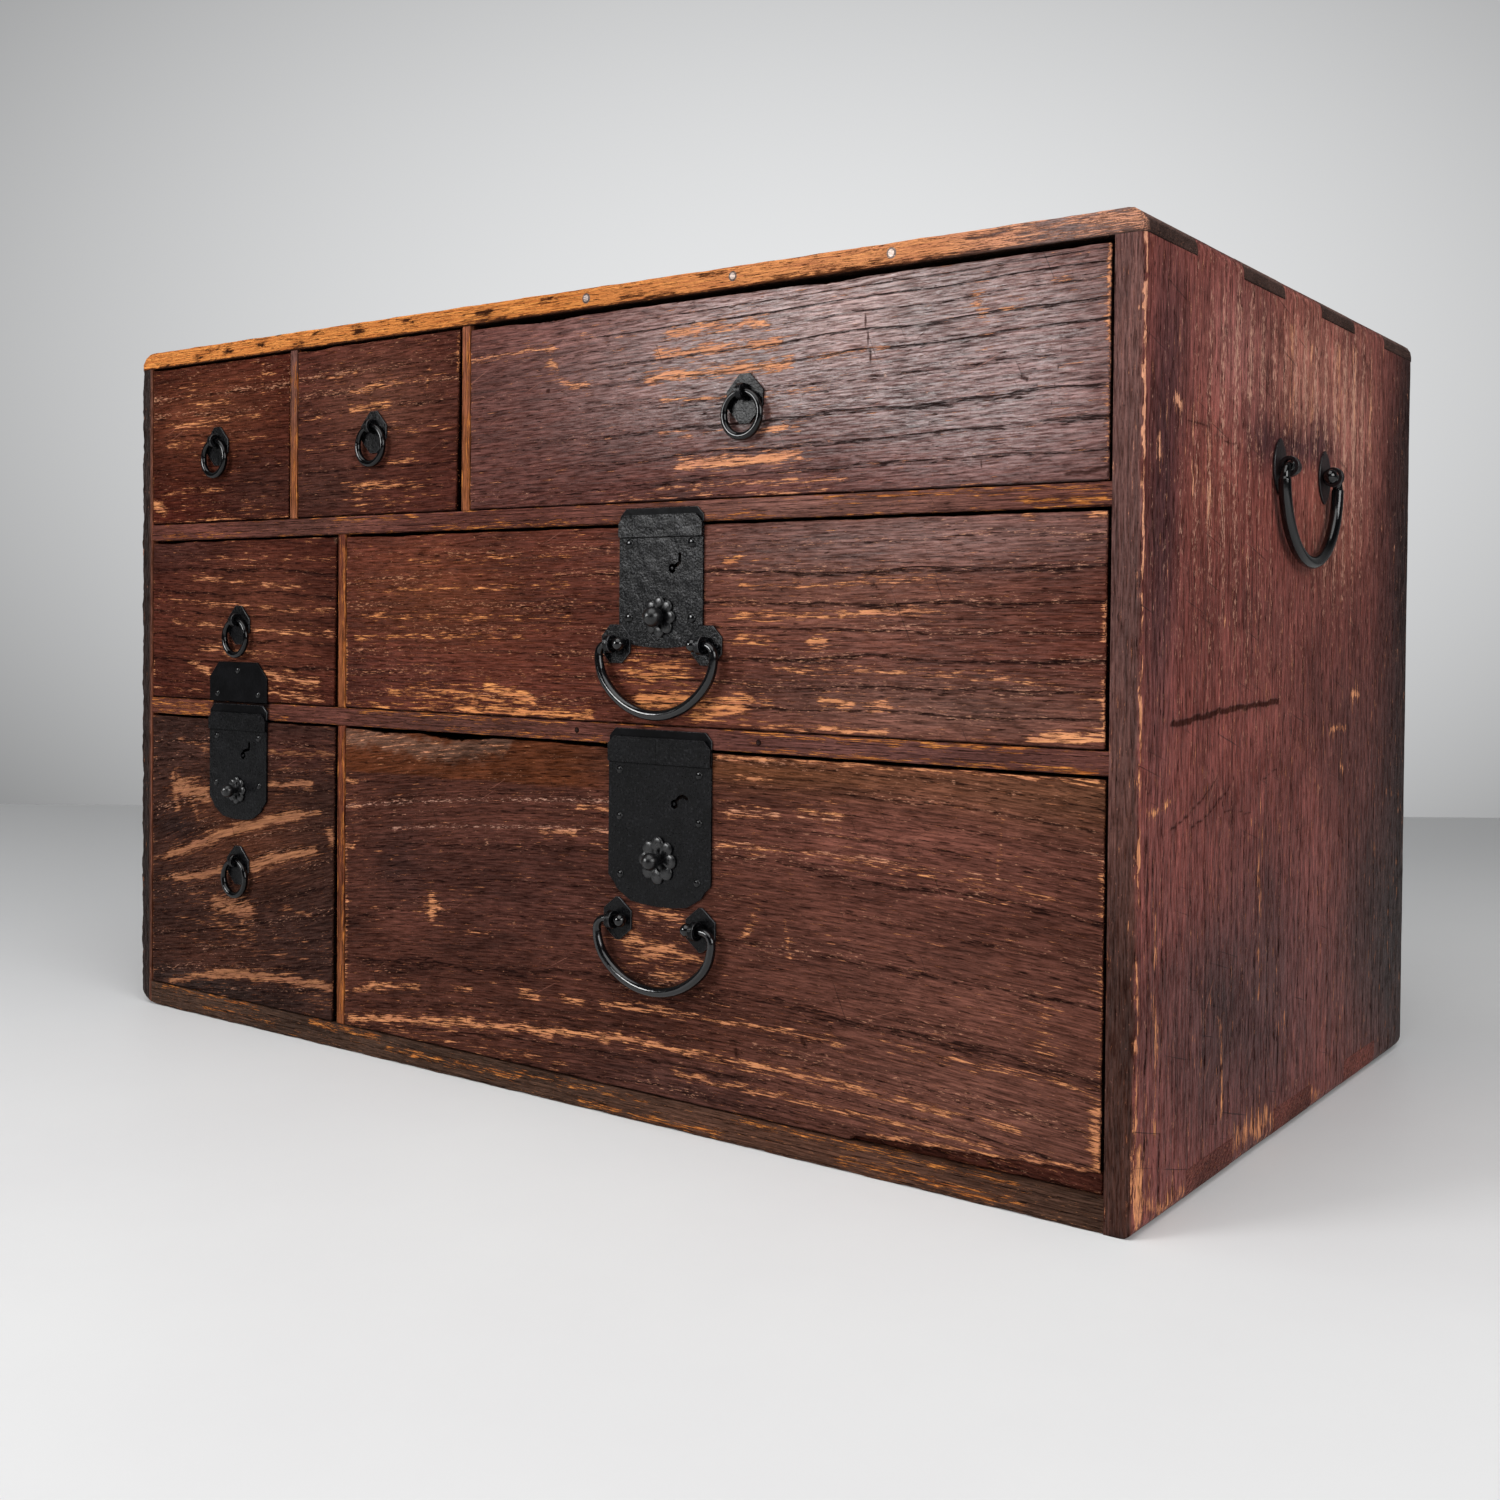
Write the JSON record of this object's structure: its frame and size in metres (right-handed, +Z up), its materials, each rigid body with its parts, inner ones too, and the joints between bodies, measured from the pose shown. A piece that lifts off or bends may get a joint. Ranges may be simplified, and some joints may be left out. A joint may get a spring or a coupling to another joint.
{
  "type": "small tansu chest",
  "caption": "Small Japanese tansu chest: low wide stained-wood box with rows of lipless drawers, black iron ring pulls, lock plates with sliding bolts, drop bails and side handles.",
  "frame": {"origin": "middle of the floor under the carcass", "axes": "+X to the viewer's right along the width, +Y to the back, +Z up; drawers pull towards -Y"},
  "size_m": [0.624, 0.3401, 0.3636],
  "materials": {
    "stained_kiri_front": "worn dark red-brown stain, long grain",
    "stained_kiri_case": "worn dark red-brown stain",
    "stained_kiri_rail": "worn dark red-brown stain on the front edge",
    "bare_kiri": "bare, aged paulownia",
    "black_iron": "black lacquered wrought iron, satin"
  },
  "bodies": {
    "carcass": {"top_board": "stained_kiri_case", "bottom_board": "stained_kiri_case", "left_side": "stained_kiri_case", "right_side": "stained_kiri_case", "upper_shelf": "stained_kiri_rail", "lower_shelf": "stained_kiri_rail", "upper_left_divider": "stained_kiri_rail", "upper_right_divider": "stained_kiri_rail", "middle_divider": "stained_kiri_rail", "lower_divider": "stained_kiri_rail", "back_boards": "bare_kiri", "middle_right_strike": "black_iron", "bottom_left_strike": "black_iron", "bottom_right_strike": "black_iron", "right_handle_plates": "black_iron", "left_handle_plates": "black_iron"},
    "left_handle": {"left_handle": "black_iron"},
    "right_handle": {"right_handle": "black_iron"},
    "top_left_drawer": {"top_left_front": "stained_kiri_front", "top_left_box": "bare_kiri", "top_left_floor": "bare_kiri", "top_left_ring_plate": "black_iron"},
    "top_left_ring": {"top_left_ring": "black_iron"},
    "top_middle_drawer": {"top_middle_front": "stained_kiri_front", "top_middle_box": "bare_kiri", "top_middle_floor": "bare_kiri", "top_middle_ring_plate": "black_iron"},
    "top_middle_ring": {"top_middle_ring": "black_iron"},
    "top_right_drawer": {"top_right_front": "stained_kiri_front", "top_right_box": "bare_kiri", "top_right_floor": "bare_kiri", "top_right_ring_plate": "black_iron"},
    "top_right_ring": {"top_right_ring": "black_iron"},
    "middle_left_drawer": {"middle_left_front": "stained_kiri_front", "middle_left_box": "bare_kiri", "middle_left_floor": "bare_kiri", "middle_left_ring_plate": "black_iron", "middle_left_link_plate": "black_iron"},
    "middle_left_ring": {"middle_left_ring": "black_iron"},
    "middle_right_drawer": {"middle_right_front": "stained_kiri_front", "middle_right_box": "bare_kiri", "middle_right_floor": "bare_kiri", "middle_right_lock_plate": "black_iron", "middle_right_bail_plates": "black_iron"},
    "middle_right_lock_slider": {"middle_right_lock_slider": "black_iron"},
    "middle_right_bail": {"middle_right_bail": "black_iron"},
    "bottom_left_drawer": {"bottom_left_front": "stained_kiri_front", "bottom_left_box": "bare_kiri", "bottom_left_floor": "bare_kiri", "bottom_left_ring_plate": "black_iron", "bottom_left_lock_plate": "black_iron"},
    "bottom_left_ring": {"bottom_left_ring": "black_iron"},
    "bottom_left_lock_slider": {"bottom_left_lock_slider": "black_iron"},
    "bottom_right_drawer": {"bottom_right_front": "stained_kiri_front", "bottom_right_box": "bare_kiri", "bottom_right_floor": "bare_kiri", "bottom_right_lock_plate": "black_iron", "bottom_right_bail_plates": "black_iron"},
    "bottom_right_lock_slider": {"bottom_right_lock_slider": "black_iron"},
    "bottom_right_bail": {"bottom_right_bail": "black_iron"}
  },
  "joints": [
    {"name": "top_left_pull", "type": "slide", "parent": "carcass", "child": "top_left_drawer", "axis": [0, -1, 0], "range_m": [0, 0.26]},
    {"name": "top_middle_pull", "type": "slide", "parent": "carcass", "child": "top_middle_drawer", "axis": [0, -1, 0], "range_m": [0, 0.26]},
    {"name": "top_right_pull", "type": "slide", "parent": "carcass", "child": "top_right_drawer", "axis": [0, -1, 0], "range_m": [0, 0.26]},
    {"name": "middle_left_pull", "type": "slide", "parent": "carcass", "child": "middle_left_drawer", "axis": [0, -1, 0], "range_m": [0, 0.26]},
    {"name": "middle_right_pull", "type": "slide", "parent": "carcass", "child": "middle_right_drawer", "axis": [0, -1, 0], "range_m": [0, 0.26]},
    {"name": "bottom_left_pull", "type": "slide", "parent": "carcass", "child": "bottom_left_drawer", "axis": [0, -1, 0], "range_m": [0, 0.26]},
    {"name": "bottom_right_pull", "type": "slide", "parent": "carcass", "child": "bottom_right_drawer", "axis": [0, -1, 0], "range_m": [0, 0.26]},
    {"name": "top_left_ring_swing", "type": "hinge", "parent": "top_left_drawer", "child": "top_left_ring", "pos_m": [-0.23185, -0.16775, 0.3111], "axis": [-1, 0, 0], "range_deg": [0, 110]},
    {"name": "top_middle_ring_swing", "type": "hinge", "parent": "top_middle_drawer", "child": "top_middle_ring", "pos_m": [-0.10455, -0.16775, 0.3111], "axis": [-1, 0, 0], "range_deg": [0, 110]},
    {"name": "top_right_ring_swing", "type": "hinge", "parent": "top_right_drawer", "child": "top_right_ring", "pos_m": [0.12695, -0.16775, 0.3111], "axis": [-1, 0, 0], "range_deg": [0, 110]},
    {"name": "middle_left_ring_swing", "type": "hinge", "parent": "middle_left_drawer", "child": "middle_left_ring", "pos_m": [-0.21285, -0.16775, 0.2155], "axis": [-1, 0, 0], "range_deg": [0, 110]},
    {"name": "bottom_left_ring_swing", "type": "hinge", "parent": "bottom_left_drawer", "child": "bottom_left_ring", "pos_m": [-0.213, -0.16775, 0.0879], "axis": [-1, 0, 0], "range_deg": [0, 110]},
    {"name": "middle_right_bail_swing", "type": "hinge", "parent": "middle_right_drawer", "child": "middle_right_bail", "pos_m": [0.0822, -0.16925, 0.2069], "axis": [-1, 0, 0], "range_deg": [0, 95]},
    {"name": "bottom_right_bail_swing", "type": "hinge", "parent": "bottom_right_drawer", "child": "bottom_right_bail", "pos_m": [0.0822, -0.16925, 0.0873], "axis": [-1, 0, 0], "range_deg": [0, 95]},
    {"name": "middle_right_lock_slide", "type": "slide", "parent": "middle_right_drawer", "child": "middle_right_lock_slider", "axis": [0, 0, 1], "range_m": [0, 0.005]},
    {"name": "bottom_right_lock_slide", "type": "slide", "parent": "bottom_right_drawer", "child": "bottom_right_lock_slider", "axis": [0, 0, 1], "range_m": [0, 0.005]},
    {"name": "bottom_left_lock_slide", "type": "slide", "parent": "bottom_left_drawer", "child": "bottom_left_lock_slider", "axis": [0, 0, 1], "range_m": [0, 0.005]},
    {"name": "left_handle_swing", "type": "hinge", "parent": "carcass", "child": "left_handle", "pos_m": [-0.30765, 0, 0.2838], "axis": [0, 1, 0], "range_deg": [0, 110]},
    {"name": "right_handle_swing", "type": "hinge", "parent": "carcass", "child": "right_handle", "pos_m": [0.30765, 0, 0.2838], "axis": [0, -1, 0], "range_deg": [0, 110]}
  ]
}
